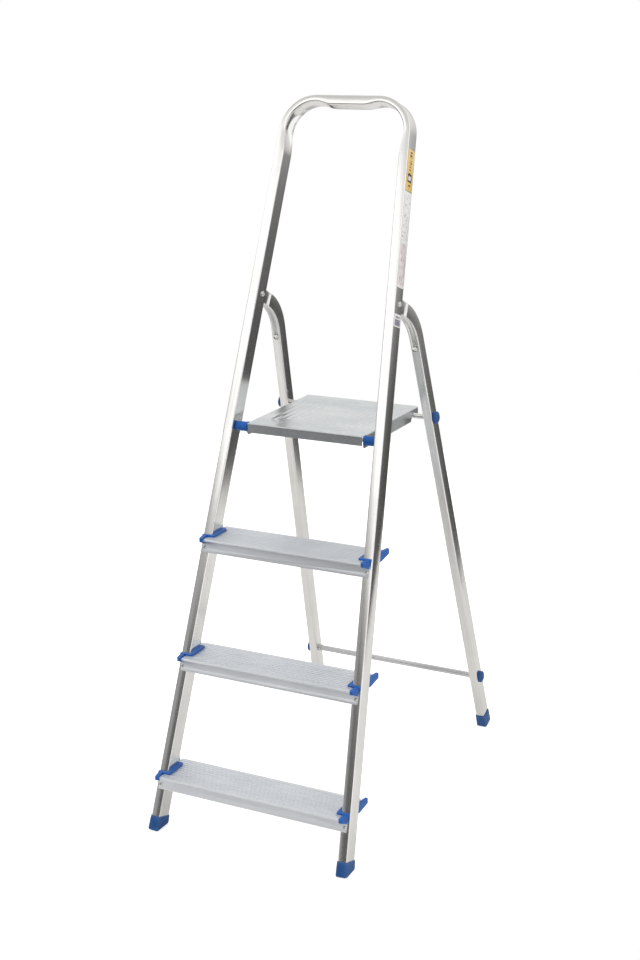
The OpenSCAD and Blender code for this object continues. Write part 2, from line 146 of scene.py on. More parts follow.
def new_piece(name, body, slot, material, points, faces, uvs=None, replaces=()):
    """A mesh piece that rides on a body."""
    obj = shade(add_mesh(name, points, faces, uvs))
    return dress(obj, body, material, replaces)


def dress(obj, body, material, replaces=()):
    """Give an object its material and body, and the CAD nodes it stands for."""
    obj.data.materials.clear()
    obj.data.materials.append(material)
    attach(obj, body)
    if replaces:
        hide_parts(*replaces)
    return obj


def loft(name, body, slot, material, rings, uvs=None, **more):
    """Skin through rings of equal length, capped at both ends."""
    count = len(rings[0])
    points = [p for ring in rings for p in ring]
    faces = []
    for i in range(len(rings) - 1):
        lower, upper = i * count, (i + 1) * count
        for k in range(count):
            j = (k + 1) % count
            faces.append((lower + k, lower + j, upper + j, upper + k))
    faces.append(tuple(reversed(range(count))))
    faces.append(tuple(range(len(points) - count, len(points))))
    return new_piece(name, body, slot, material, points, faces, uvs, **more)


def lathe(name, body, slot, material, place, profile, steps):
    """Turn (radius, distance) pairs about the axis of place(a, b, distance)."""
    turns = [2 * pi * k / steps for k in range(steps)]
    rings = [[place(radius * cos(turn), radius * sin(turn), along) for turn in turns]
             for radius, along in profile]
    return loft(name, body, slot, material, rings)


def soften(node, body, material, width, segments=3):
    """A copy of a CAD node with its edges rounded over a width in mm, to stand for it."""
    flat_angle, sharp_angle, smooth_angle = 0.6, 30, 40
    obj = bpy.data.objects.new(node + "_body", nodes[node].data.copy())
    scene.collection.objects.link(obj)
    bm = bmesh.new()
    bm.from_mesh(obj.data)
    bmesh.ops.remove_doubles(bm, verts=bm.verts, dist=1e-6)
    bmesh.ops.dissolve_limit(bm, angle_limit=radians(flat_angle), verts=bm.verts,
                             edges=bm.edges)
    sharp = [edge for edge in bm.edges
             if len(edge.link_faces) == 2 and edge.calc_face_angle(0) > radians(sharp_angle)]
    bmesh.ops.bevel(bm, geom=sharp, offset=width * MM, segments=segments,
                    profile=0.5, affect="EDGES", clamp_overlap=True)
    bmesh.ops.remove_doubles(bm, verts=bm.verts, dist=1e-7)
    bm.to_mesh(obj.data)
    bm.free()
    shade(obj, smooth_angle)
    return dress(obj, body, material, (node,))


def apply_modifiers(obj):
    """Turn the object's modified shape into its own mesh."""
    bpy.context.view_layer.update()
    graph = bpy.context.evaluated_depsgraph_get()
    mesh = bpy.data.meshes.new_from_object(obj.evaluated_get(graph))
    obj.modifiers.clear()
    old = obj.data
    obj.data = mesh
    bpy.data.meshes.remove(old)


def cut(obj, cutter):
    """Take the cutter's shape out of obj for good."""
    modifier = obj.modifiers.new("cut", "BOOLEAN")
    modifier.operation = "DIFFERENCE"
    modifier.solver = "EXACT"
    modifier.object = cutter
    apply_modifiers(obj)
    bpy.data.objects.remove(cutter)
    shade(obj)


def block(place, u, v, w):
    """A plain cutter between pairs of limits in a part's axes."""
    corners = [place(a, b, c) for c in w for b in v for a in u]
    quads = [(0, 1, 3, 2), (4, 6, 7, 5), (0, 4, 5, 1),
             (2, 3, 7, 6), (0, 2, 6, 4), (1, 5, 7, 3)]
    return add_mesh("cutter", corners, quads)


def corner_arc(cx, cy, r, start, steps=4):
    """Points round one corner of an outline, a quarter turn from start."""
    turns = [start + pi / 2 * k / steps for k in range(steps + 1)]
    return [(cx + r * cos(turn), cy + r * sin(turn)) for turn in turns]


def round_outline(x0, x1, y0, y1, r):
    """A rectangle with round corners, as points in order."""
    centres = [(x1 - r, y1 - r), (x0 + r, y1 - r), (x0 + r, y0 + r), (x1 - r, y0 + r)]
    points = []
    for quarter, (cx, cy) in enumerate(centres):
        points += corner_arc(cx, cy, r, quarter * pi / 2)
    return points


# ---- Materials ------------------------------------------------------------------------

class Nodes:
    """Short calls that build the node tree of a material or world."""

    def __init__(self, owner):
        owner.use_nodes = True
        self.tree = owner.node_tree

    def add(self, kind, **values):
        """A new node. Each value goes to the input of that name, or else to a setting."""
        node = self.tree.nodes.new(kind)
        for key, value in values.items():
            if key in node.inputs:
                node.inputs[key].default_value = value
            else:
                setattr(node, key, value)
        return node

    def link(self, source, target):
        self.tree.links.new(source, target)

    def feed(self, socket, value):
        """Link a socket to an output, or give it a constant."""
        if hasattr(value, "is_output"):
            self.link(value, socket)
        else:
            socket.default_value = value

    def stretched(self, source, scale):
        """Coordinates with a scale of their own on each axis."""
        mapping = self.add("ShaderNodeMapping", Scale=scale)
        self.link(source, mapping.inputs["Vector"])
        return mapping.outputs["Vector"]

    def noise(self, vector, scale, detail=3.0, roughness=0.5):
        node = self.add("ShaderNodeTexNoise", Scale=scale, Detail=detail, Roughness=roughness)
        self.link(vector, node.inputs["Vector"])
        return node.outputs["Fac"]

    def ramp(self, source, stops):
        """Colours along a source. Each stop is a position and a red, green and blue."""
        node = self.add("ShaderNodeValToRGB")
        elements = node.color_ramp.elements
        while len(elements) < len(stops):
            elements.new(0.5)
        for element, (position, colour) in zip(elements, stops):
            element.position = position
            element.color = (*colour, 1)
        self.link(source, node.inputs["Fac"])
        return node.outputs["Color"]

    def remap(self, source, low, high, start=0.3, end=0.7, kind="LINEAR"):
        """The source's start..end turned into low..high."""
        node = self.add("ShaderNodeMapRange", interpolation_type=kind)
        limits = {"From Min": start, "From Max": end, "To Min": low, "To Max": high}
        for key, value in limits.items():
            node.inputs[key].default_value = value
        self.link(source, node.inputs["Value"])
        return node.outputs["Result"]

    def within(self, value, middle, half):
        """1 where the value is no further than half from the middle."""
        node = self.add("ShaderNodeMath", operation="COMPARE")
        self.link(value, node.inputs[0])
        node.inputs[1].default_value = middle
        node.inputs[2].default_value = half
        return node.outputs[0]

    def times(self, a, b):
        node = self.add("ShaderNodeMath", operation="MULTIPLY")
        self.link(a, node.inputs[0])
        self.link(b, node.inputs[1])
        return node.outputs[0]

    def mix(self, kind, factor, a, b):
        """Two colours blended. The node's colour sockets are inputs 6 and 7, output 2."""
        node = self.add("ShaderNodeMix", data_type="RGBA", blend_type=kind)
        self.feed(node.inputs[0], factor)
        self.feed(node.inputs[6], a)
        self.feed(node.inputs[7], b)
        return node.outputs[2]

    def bump(self, height, strength, distance):
        node = self.add("ShaderNodeBump", Strength=strength, Distance=distance)
        self.link(height, node.inputs["Height"])
        return node.outputs["Normal"]

    def set(self, **values):
        """Values and links for the material's own shader, by socket name."""
        shader = self.tree.nodes["Principled BSDF"]
        for key, value in values.items():
            self.feed(shader.inputs[key.replace("_", " ")], value)


def metal(name, dark, light, rough, stretch, use_uv=False, streak=0.5, bump=0.12):
    """Drawn or rolled metal: streaks along one axis, smears and fine scratches.
    With use_uv the streaks follow the tube, bends and all."""
    material = bpy.data.materials.new(name)
    n = Nodes(material)
    if use_uv:
        source = n.add("ShaderNodeUVMap", uv_map="Length").outputs["UV"]
    else:
        source = n.add("ShaderNodeTexCoord").outputs["Object"]
    streaks = n.noise(n.stretched(source, stretch), 1.0, 4.0, 0.6)
    smears = n.noise(n.stretched(source, (9, 9, 9)), 1.0, 3.0, 0.55)
    fine = n.noise(n.stretched(source, tuple(v * 5 for v in stretch)), 1.0, 2.0)
    both = n.mix("MIX", streak, smears, streaks)
    smoothest, roughest = rough
    n.set(Base_Color=n.ramp(both, [(0.32, dark), (0.68, light)]), Metallic=1.0,
          Roughness=n.remap(both, roughest, smoothest), Normal=n.bump(fine, bump, 0.0004))
    return material


def moulded_plastic(name, dark, light, edge_colour):
    """Satin moulded plastic with a fine grain and slightly scuffed edges."""
    material = bpy.data.materials.new(name)
    n = Nodes(material)
    source = n.add("ShaderNodeTexCoord").outputs["Object"]
    cloud = n.noise(source, 60, 3.0)
    grain = n.noise(source, 1800, 2.0)
    pointiness = n.add("ShaderNodeNewGeometry").outputs["Pointiness"]
    edge = n.remap(pointiness, 0.0, 1.0, 0.51, 0.58)
    body = n.ramp(cloud, [(0.3, dark), (0.7, light)])
    n.set(Base_Color=n.mix("MIX", edge, body, edge_colour), Roughness=n.remap(cloud, 0.36, 0.5),
          Specular_IOR_Level=0.35, Normal=n.bump(grain, 0.18, 0.0002))
    return material


def galvanised(name):
    """Zinc-dipped sheet: faint crystals a few millimetres across, over smears."""
    material = bpy.data.materials.new(name)
    n = Nodes(material)
    source = n.add("ShaderNodeTexCoord").outputs["Object"]
    warp = n.noise(source, 40, 2.0)
    shifted = n.mix("LINEAR_LIGHT", 0.02, source, warp)
    crystals = n.add("ShaderNodeTexVoronoi", Scale=210.0)
    n.link(shifted, crystals.inputs["Vector"])
    grey = n.add("ShaderNodeRGBToBW")
    n.link(crystals.outputs["Color"], grey.inputs["Color"])
    cloud = n.noise(n.stretched(source, (7, 14, 7)), 1.0, 4.0)
    both = n.mix("MIX", 0.3, cloud, grey.outputs["Val"])
    zinc = n.ramp(both, [(0.25, (0.58, 0.615, 0.635)), (0.75, (0.76, 0.79, 0.805))])
    n.set(Base_Color=zinc, Metallic=1.0, Roughness=n.remap(cloud, 0.36, 0.25),
          Normal=n.bump(cloud, 0.06, 0.001))
    return material


def printed_film(name, base, bands):
    """Glossy film with printed bars that spell nothing. Each band holds its middle and half
    size along the stile, then across it, in metres, the bars' scale on each axis, the noise
    level from which they are inked, and the ink."""
    material = bpy.data.materials.new(name)
    n = Nodes(material)
    source = n.add("ShaderNodeUVMap", uv_map="Length").outputs["UV"]
    place = n.add("ShaderNodeSeparateXYZ")
    n.link(source, place.inputs[0])
    soil = n.noise(source, 30, 3.0)
    colour = n.ramp(soil, [(0.3, tuple(c * 0.93 for c in base)), (0.7, base)])
    for along, half_along, across, half_across, pitch, level, ink in bands:
        inside = n.within(place.outputs["X"], along, half_along)
        inside = n.times(inside, n.within(place.outputs["Y"], across, half_across))
        bars = n.noise(n.stretched(source, pitch), 1.0, 0.0)
        inside = n.times(inside, n.remap(bars, 0.0, 1.0, level, level + 0.03))
        colour = n.mix("MIX", inside, colour, (*ink, 1))
    n.set(Base_Color=colour, Roughness=n.remap(soil, 0.22, 0.34), Coat_Weight=0.25,
          Coat_Roughness=0.15)
    return material


FRAME_METAL = metal("frame_aluminium", (0.74, 0.735, 0.72), (0.90, 0.895, 0.885),
                    (0.11, 0.21), (2.2, 260, 1), use_uv=True)
LEG_METAL = metal("leg_aluminium", (0.66, 0.655, 0.64), (0.86, 0.855, 0.84),
                  (0.13, 0.25), (2.6, 240, 1), use_uv=True, streak=0.6)
TREAD_METAL = metal("tread_aluminium", (0.77, 0.795, 0.83), (0.87, 0.895, 0.935),
                    (0.42, 0.54), (3, 160, 60), bump=0.04)
PLATED = metal("plated_steel", (0.62, 0.62, 0.61), (0.84, 0.84, 0.83),
               (0.16, 0.30), (6, 160, 160))
BAR_METAL = metal("crossbar_aluminium", (0.54, 0.545, 0.555), (0.72, 0.725, 0.735),
                  (0.2, 0.33), (4, 220, 220))
BLUE = moulded_plastic("blue_plastic", (0.004, 0.076, 0.33), (0.007, 0.115, 0.46),
                       (0.03, 0.14, 0.45, 1))
# A darker copy of the blue plastic, its colours and edges darkened as painted shade, for the
# boots and the end caps.
SHADED_BLUE = moulded_plastic("shaded_blue_plastic", (0.004, 0.052, 0.19), (0.008, 0.078, 0.27),
                            (0.05, 0.13, 0.32, 1))
ZINC_SHEET = galvanised("galvanised_steel")
DARK_INK, GREY_INK, PINK_INK = (0.06, 0.05, 0.05), (0.30, 0.28, 0.34), (0.60, 0.40, 0.43)
NAME_FILM = printed_film("name_film", (0.86, 0.58, 0.18), [
    (1.431, 0.037, 0.020, 0.0055, (420, 25, 1), 0.47, DARK_INK),
    (1.414, 0.0085, 0.020, 0.010, (1, 1, 1), 0.0, DARK_INK),
    (1.414, 0.0045, 0.020, 0.006, (1, 1, 1), 0.0, (0.8, 0.8, 0.78)),
])
SAFETY_FILM = printed_film("safety_film", (0.86, 0.855, 0.85), [
    (1.330, 0.045, 0.020, 0.012, (90, 110, 1), 0.72, DARK_INK),
    (1.330, 0.050, 0.020, 0.014, (160, 420, 1), 0.60, (0.55, 0.54, 0.55)),
    (1.238, 0.042, 0.020, 0.014, (70, 620, 1), 0.50, PINK_INK),
])
CODE_FILM = printed_film("code_film", (0.86, 0.85, 0.85), [
    (1.119, 0.0065, 0.020, 0.013, (20, 20, 1), 0.0, GREY_INK),
    (1.119, 0.0065, 0.020, 0.013, (15, 900, 1), 0.55, (0.16, 0.15, 0.18)),
    (1.130, 0.0022, 0.020, 0.010, (200, 500, 1), 0.45, DARK_INK),
])


# ---- Camera, floor and light ----------------------------------------------------------

def add_camera():
    """Where the photograph was taken from, fitted to the ladder's own corners."""
    yaw, pitch, roll = 0.470915, -0.288804, -0.012450
    place = on_floor(1467.97, -2517.88, 1663.09)
    focal_length_px, image_height_px, sensor_height = 1589.877, 960, 36
    ahead = Vector((-sin(yaw) * cos(pitch), cos(yaw) * cos(pitch), sin(pitch)))
    level = Vector((cos(yaw), sin(yaw), 0))
    upright = level.cross(ahead)
    right = cos(roll) * level + sin(roll) * upright
    up = cos(roll) * upright - sin(roll) * level
    data = bpy.data.cameras.new("camera")
    data.sensor_fit = "VERTICAL"
    data.sensor_height = sensor_height
    data.lens = sensor_height * focal_length_px / image_height_px
    camera = bpy.data.objects.new("camera", data)
    turn = Matrix((right, up, -ahead)).transposed().to_4x4()
    camera.matrix_world = Matrix.Translation(place) @ turn
    scene.collection.objects.link(camera)
    scene.camera = camera


# What the metal reflects: brightness by the height of a direction, from -1 straight down to
# 1 straight up, in front of the ladder and behind it. The peak is what a full ramp colour
# stands for.
SKY_PEAK = 1.6
FRONT_SKY = [(-1, 0.45), (-0.5, 0.16), (-0.1, 0.10), (0.20, 0.10), (0.25, 0.22),
             (0.295, 1.35), (0.45, 1.5), (0.52, 0.68), (1, 0.75)]
REAR_SKY = [(-1, 0.45), (-0.5, 0.16), (-0.30, 0.07), (-0.22, 0.08), (-0.16, 0.16),
            (-0.04, 0.5), (0.10, 0.78), (0.3, 0.95), (1, 0.9)]
WARMTH = (1, 0.99, 0.97)
# A dim screen on the left in front, and a panel down the whole right-hand side
LEFT_SCREEN = (0.22, 0.22, 0.225, 1)
RIGHT_PANEL = (0.7, 0.7, 0.7, 1)


def add_world():
    """White to the camera, and to reflections a studio that is dim near the horizon."""
    world = bpy.data.worlds.new("studio")
    scene.world = world
    n = Nodes(world)
    n.tree.nodes.clear()
    direction = n.add("ShaderNodeSeparateXYZ")
    n.link(n.add("ShaderNodeTexCoord").outputs["Generated"], direction.inputs[0])
    height = n.remap(direction.outputs["Z"], 0, 1, -1, 1)
    front, rear = [
        n.ramp(height, [((level + 1) / 2, [bright / SKY_PEAK * tint for tint in WARMTH])
                        for level, bright in stops])
        for stops in (FRONT_SKY, REAR_SKY)]
    leftward = n.remap(direction.outputs["X"], 0, 1, -0.43, -0.52, "SMOOTHSTEP")
    rearward = n.remap(direction.outputs["Y"], 0, 1, -0.35, 0.35, "SMOOTHSTEP")
    rightward = n.remap(direction.outputs["X"], 0, 1, 0.58, 0.72, "SMOOTHSTEP")
    front = n.mix("LIGHTEN", leftward, front, LEFT_SCREEN)
    sky = n.mix("MIX", rearward, front, rear)
    sky = n.mix("MIX", rightward, sky, RIGHT_PANEL)
    direct = n.add("ShaderNodeLightPath").outputs["Is Camera Ray"]
    white = (1 / SKY_PEAK, 1 / SKY_PEAK, 1 / SKY_PEAK, 1)
    background = n.add("ShaderNodeBackground", Strength=SKY_PEAK)
    n.link(n.mix("MIX", direct, sky, white), background.inputs["Color"])
    n.link(background.outputs[0], n.add("ShaderNodeOutputWorld").inputs["Surface"])


def add_floor():
    """A pale round floor that looks brighter to the camera than to reflections. Its near
    and right-hand rim, outside the view, is where the metal stops reflecting it."""
    steps, radius, middle_x, middle_y, below, glow = 96, 2.05, -1.0, 0.6, 0.0002, 0.6
    points = []
    for k in range(steps):
        turn = 2 * pi * k / steps
        points.append((middle_x + radius * cos(turn), middle_y + radius * sin(turn), -below))
    mesh = bpy.data.meshes.new("floor")
    mesh.from_pydata(points, [], [tuple(range(steps))])
    floor = bpy.data.objects.new("floor", mesh)
    material = bpy.data.materials.new("floor")
    n = Nodes(material)
    source = n.add("ShaderNodeTexCoord").outputs["Object"]
    cloud = n.noise(source, 3)
    paint = n.ramp(cloud, [(0.3, (0.76, 0.755, 0.745)), (0.7, (0.79, 0.785, 0.775))])
    direct = n.add("ShaderNodeLightPath").outputs["Is Camera Ray"]
    n.set(Base_Color=paint, Roughness=0.9, Emission_Color=(1, 1, 1, 1),
          Emission_Strength=n.remap(direct, 0.0, glow, 0.0, 1.0))
    mesh.materials.append(material)
    scene.collection.objects.link(floor)


def add_area_light(name, place, target, size, power):
    """A soft round light that no surface mirrors."""
    data = bpy.data.lights.new(name, "AREA")
    data.shape = "DISK"
    data.size = size
    data.energy = power
    light = bpy.data.objects.new(name, data)
    aim = (Vector(target) - Vector(place)).to_track_quat("-Z", "Y")
    light.matrix_world = Matrix.Translation(Vector(place)) @ aim.to_matrix().to_4x4()
    light.visible_glossy = False
    scene.collection.objects.link(light)


scene.view_settings.view_transform = "Standard"
add_camera()
add_world()
add_floor()
add_area_light("key", (-2.2, -3.2, 4.2), (0, 0, 0.6), 3.0, 60)
add_area_light("top", (0.8, 0.6, 4.8), (0, 0, 0.3), 3.5, 40)


# ---- Front frame: one tube, bent into a hoop ------------------------------------------

def hoop_stations():
    """Stations from the right foot round to the left one. Each is the outer point, the
    inward direction, and how far the inner wall is pressed in, from 0 to 1."""
    below_bend, into_bend, past_bend = 50, 6, 34
    straight_steps, lead_steps, bend_steps, bar_steps = 18, 12, 24, 8
    foot = Vector((BASE_HALF_W, 0))
    inward = Vector((-cos(SIDE_SLOPE), -sin(SIDE_SLOPE)))
    upward = Vector((-sin(SIDE_SLOPE), cos(SIDE_SLOPE)))
    lead = STILE_END - below_bend
    runs = [STILE_START + (lead - STILE_START) * k / straight_steps
            for k in range(straight_steps + 1)]
    runs += [lead + below_bend * k / lead_steps for k in range(1, lead_steps + 1)]
    stations = []
    for t in runs:
        press = smooth_step((t - lead) / (below_bend + into_bend))
        stations.append((foot + upward * t, inward, press))
    centre = foot + upward * STILE_END + inward * HOOP_DROP
    for k in range(1, bend_steps + 1):
        turn = pi + SIDE_SLOPE + (pi / 2 - SIDE_SLOPE) * k / bend_steps
        towards = Vector((cos(turn), sin(turn)))
        stations.append((centre - towards * HOOP_DROP, towards, 1.0))
    bar = [HOOP_X - past_bend * k / bar_steps for k in range(1, bar_steps + 1)]
    for x in bar + [HOOP_X / 4, 0]:
        press = 1 - smooth_step((HOOP_X - x) / past_bend)
        stations.append((Vector((x, FRAME_LEN)), Vector((0, -1)), press))
    for point, towards, press in list(reversed(stations[:-1])):
        stations.append((Vector((-point.x, point.y)), Vector((-towards.x, towards.y)),
                         press))
    return stations


def tube_section(press):
    """(inward, depth) round the hoop tube; bending presses the inner wall in."""
    front_dip, rear_dip, hollow, wall_steps = 6.5, 5.0, 5.0, 10
    r = TUBE_CORNER
    front_wall = STILE_W - press * front_dip
    rear_wall = STILE_W - press * rear_dip
    section = corner_arc(r, STILE_D - r, r, pi / 2)
    section += corner_arc(r, r, r, pi)
    section += corner_arc(front_wall - r, r, r, 3 * pi / 2)
    for k in range(1, wall_steps):
        w = r + (STILE_D - 2 * r) * k / wall_steps
        bow = 1 - ((w - STILE_D / 2) / (STILE_D / 2 - r)) ** 2
        wall = front_wall + (rear_wall - front_wall) * k / wall_steps
        section.append((wall - press * hollow * bow ** 0.8, w))
    section += corner_arc(rear_wall - r, STILE_D - r, r, 0)
    return section


def perimeter(section):
    """How far round the section each of its points is."""
    total, marks = 0.0, [0.0]
    for (x0, y0), (x1, y1) in zip(section, section[1:]):
        total += sqrt((x1 - x0) ** 2 + (y1 - y0) ** 2)
        marks.append(total)
    return marks


def build_front_frame():
    """The bent tube, with a slot cut in each stile for the end of a rear leg."""
    rings, uvs = [], []
    length, last = 0.0, None
    for point, towards, press in hoop_stations():
        section = tube_section(press)
        length += (point - last).length if last else 0
        last = point
        ring = []
        for (inward, w), around in zip(section, perimeter(section)):
            spot = point + towards * inward
            ring.append(on_front(spot.x, w, spot.y))
            uvs.append((length * MM, around * MM))
        rings.append(ring)
    tube = loft("front_tube", "front", "frame_aluminium", FRAME_METAL, rings, uvs,
                replaces=["front_frame"])
    wall, front_wall, past_rear = 1.7, 1.6, STILE_D + 20
    below_pin, above_pin = 37, 17
    pin = HINGE_ALONG / cos(SIDE_SLOPE)
    for side in SIDES.values():
        def place(u, w, t, side=side):
            return on_stile(side, u, w, t)
        cut(tube, block(place, (wall - STILE_W, -wall), (front_wall, past_rear),
                        (pin - below_pin, pin + above_pin)))


# ---- Rear legs: each tube bent forward at the top -------------------------------------

def leg_stations():
    """Stations from a leg's foot to its end inside the stile. Each is the centre line's d
    and t, the section's tilt, half depth and half width, and the groove from 0 to 1."""
    lead, straight_steps, lead_steps, bend_steps, end_steps = 46, 16, 20, 20, 8
    groove_below, groove_fade = 22, 8
    half_d = LEG_D / 2
    start = BEND_Z - lead
    runs = [LEG_END + (start - LEG_END) * k / straight_steps
            for k in range(straight_steps + 1)]
    runs += [start + lead * k / lead_steps for k in range(1, lead_steps + 1)]
    stations = []
    for t in runs:
        groove = smooth_step((t - (BEND_Z - groove_below)) / groove_fade)
        stations.append((LEG_Y, t, 0.0, half_d, LEG_W / 2, groove))
    for k in range(1, bend_steps + 1):
        turn = LEG_BEND * k / bend_steps
        stations.append((LEG_Y - LEG_BEND_R + LEG_BEND_R * cos(turn),
                         BEND_Z + LEG_BEND_R * sin(turn), turn, half_d, LEG_W / 2, 1.0))
    bend_d, bend_t = stations[-1][:2]

    def add_on_arm(run, half_depth, half_width, groove):
        stations.append((bend_d - sin(LEG_BEND) * run, bend_t + cos(LEG_BEND) * run,
                         LEG_BEND, half_depth, half_width, groove))

    neck = ARM_LEN - ARM_NECK_LEN
    taper, fade_run, faded = 7, 10, 0.75
    for run in (0.5 * neck, neck, neck + 2, neck + 4, neck + taper, 20, 32, ARM_LEN):
        narrow = smooth_step((run - neck) / taper)
        half_w = LEG_W / 2 - narrow * (LEG_W - ARM_NECK_W) / 2
        groove = 1 - faded * smooth_step((run - neck) / fade_run)
        add_on_arm(run, half_d, half_w, groove)
    # The end is a half circle that stops just short of closing to a line
    almost_whole = 0.985
    for k in range(1, end_steps + 1):
        turn = pi / 2 * k / end_steps * almost_whole
        add_on_arm(ARM_LEN + half_d * sin(turn), half_d * cos(turn), ARM_NECK_W / 2, 0.0)
    return stations


def leg_section(half_d, half_w, groove):
    """(across, rearward) round a leg tube, with the groove in its front wall."""
    groove_half_w, groove_depth, wall_steps = 6.5, 7.0, 12
    r = min(TUBE_CORNER, half_d * 0.5)
    section = corner_arc(half_w - r, half_d - r, r, 0)
    section += corner_arc(r - half_w, half_d - r, r, pi / 2)
    section += corner_arc(r - half_w, r - half_d, r, pi)
    for k in range(1, wall_steps):
        u = (r - half_w) + 2 * (half_w - r) * k / wall_steps
        dent = max(0.0, cos(pi / 2 * min(1.0, abs(u) / groove_half_w))) ** 1.3
        section.append((u, groove * groove_depth * dent - half_d))
    section += corner_arc(half_w - r, r - half_d, r, 3 * pi / 2)
    return section


def build_rear_leg(word, side):
    rings, uvs = [], []
    length, last = 0.0, None
    for d, t, turn, half_d, half_w, groove in leg_stations():
        section = leg_section(half_d, half_w, groove)
        length += sqrt((d - last[0]) ** 2 + (t - last[1]) ** 2) if last else 0
        last = (d, t)
        ring = []
        for (u, v), around in zip(section, perimeter(section)):
            ring.append(on_leg(side, u, d + v * cos(turn), t + v * sin(turn)))
            uvs.append((length * MM, around * MM))
        rings.append(ring)
    loft("rear_leg_tube_" + word, "rear", "leg_aluminium", LEG_METAL, rings, uvs,
         replaces=["rear_leg_" + word])


# ---- Rivets ---------------------------------------------------------------------------

def blind_rivet(name, place, radius, height, stem):
    """Low ring-shaped head with a hollow middle where the mandrel broke off."""
    hole, hole_floor = radius * 0.5, -2.2
    profile = [(radius * 0.55, -stem), (radius * 0.6, 0), (radius, 0),
               (radius, 0.25 * height), (radius * 0.93, 0.6 * height),
               (radius * 0.78, 0.9 * height), (radius * 0.66, height),
               (hole * 1.12, 0.95 * height), (hole, 0.7 * height),
               (hole * 0.92, hole_floor + 0.2), (hole * 0.4, hole_floor)]
    return lathe(name, "front", "plated_steel", PLATED, place, profile, steps=28)


def build_rivets():
    """Two on each tread's fascia, which stands 2 mm proud of the stiles."""
    fascia_out, radius, height, stem = 2.05, 4.0, 1.8, 4
    for tread, z in TREADS.items():
        s = z / cos(FRONT_LEAN) - RIVET_DOWN
        for word, side in SIDES.items():
            def place(a, b, out, x=side * stile_mid_x(s), s=s):
                return on_front(x + a, -(out + fascia_out), s + b)
            blind_rivet(f"tread_rivet_{tread}_{word}", place, radius, height,
                                      stem)
    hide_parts("tread_rivets")


def build_hinge_pins():
    """A head on each face of both stiles."""
    face_from_middle, radius, height, stem = 10.1, 5.5, 2.6, 9.5
    for word, side in SIDES.items():
        for face_word, face in (("outer", 1), ("inner", -1)):
            def place(a, b, out, side=side, face=face):
                x = side * (HINGE_X + face * (face_from_middle + out))
                return on_front(x, HINGE_DEEP + a, HINGE_ALONG + b)
            head = blind_rivet(f"hinge_pin_{word}_{face_word}", place, radius, height, stem)
            if face_word == "outer":
                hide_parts("hinge_pin_" + word)


# ---- Platform: one pressed sheet with a flange on each side ---------------------------

EMBOSS_H = 0.75
EDGE_R = 2.4


def on_platform(x, y, z):
    """The platform's axes, from the middle of its front edge at the top."""
    return on_floor(x, PLATFORM_Y + y, PLATFORM_H + z)


def emboss(x, y):
    """Height of the platform's pressed lines: nested rounded rectangles."""
    first, last, pitch, corner = 22, 98, 15, 60
    from_side = PLATFORM_W / 2 - abs(x)
    from_end = PLATFORM_D / 2 - abs(y - PLATFORM_D / 2)
    edge = min(from_side, from_end)
    if from_side < corner and from_end < corner:
        edge = corner - sqrt((corner - from_side) ** 2 + (corner - from_end) ** 2)
    if edge < first or edge > last:
        return 0.0
    phase = ((edge - first) % pitch) / pitch
    return EMBOSS_H * (0.5 + 0.5 * cos(2 * pi * (phase - 0.5))) ** 1.6


def side_drop(y):
    """Depth of the side flanges: as deep as the front's at that end, tapered at the rear."""
    front_run, rear_run = 6, 36
    rear_rise = SIDE_FLANGE / 2 - 4
    if y < front_run:
        return FRONT_FLANGE + (SIDE_FLANGE - FRONT_FLANGE) * y / front_run
    if y > PLATFORM_D - rear_run:
        return SIDE_FLANGE - (y - PLATFORM_D + rear_run) / rear_run * rear_rise
    return SIDE_FLANGE


class Sheet:
    """The tray's upper skin. Points that meet are shared."""

    def __init__(self):
        self.points, self.faces, self.index = [], [], {}

    def add(self, x, y, z):
        key = (round(x, 4), round(y, 4), round(z, 4))
        if key not in self.index:
            self.index[key] = len(self.points)
            self.points.append(on_platform(x, y, z))
        return self.index[key]

    def join(self, rows):
        """Faces between neighbouring rows of equal length."""
        for upper, lower in zip(rows, rows[1:]):
            for k in range(len(upper) - 1):
                self.faces.append((upper[k], upper[k + 1], lower[k + 1], lower[k]))

    def flange(self, edge, out_x, out_y, drops):
        """Curl the edge over and take it down to each point's own depth."""
        curl_steps = 4
        rows = []
        for k in range(curl_steps + 1):
            turn = pi / 2 * k / curl_steps
            out = EDGE_R * sin(turn)
            level = -EMBOSS_H - EDGE_R * (1 - cos(turn))
            rows.append([self.add(x + out_x * out, y + out_y * out, level)
                         for x, y in edge])
        for part in (0.2, 0.5, 0.8, 1.0):
            rows.append([self.add(x + out_x * EDGE_R, y + out_y * EDGE_R,
                                  -EMBOSS_H - EDGE_R - (drop - EDGE_R) * part)
                         for (x, y), drop in zip(edge, drops)])
        self.join(rows)


def build_platform():
    """The pressed top with its curled flanges, made as thick as the sheet, and a saddle
    cut in each side."""
    x_steps, y_steps, rear_drop = 132, 138, 12
    trim = SHEET / 2
    half = PLATFORM_W / 2
    xs = [EDGE_R - half + (PLATFORM_W - 2 * EDGE_R) * k / x_steps
          for k in range(x_steps + 1)]
    ys = [EDGE_R + (PLATFORM_D - 2 * EDGE_R) * k / y_steps for k in range(y_steps + 1)]
    sheet = Sheet()
    sheet.join([[sheet.add(x, y, emboss(x, y) - EMBOSS_H) for x in xs] for y in ys])
    sheet.flange([(x, ys[0]) for x in xs], 0, -1, [FRONT_FLANGE - trim] * len(xs))
    sheet.flange([(x, ys[-1]) for x in xs], 0, 1, [rear_drop] * len(xs))
    for side in SIDES.values():
        edge = [(side * (half - EDGE_R), y) for y in ys]
        sheet.flange(edge, side, 0, [side_drop(y) - trim for y in ys])
    tray = new_piece("platform_tray", "platform", "galvanised_steel", ZINC_SHEET,
                     sheet.points, sheet.faces, replaces=["platform"])
    solid = tray.modifiers.new("sheet", "SOLIDIFY")
    solid.thickness = SHEET * MM
    solid.offset = -1
    apply_modifiers(tray)
    for side in SIDES.values():
        cut_saddle(tray, side)
    shade(tray)


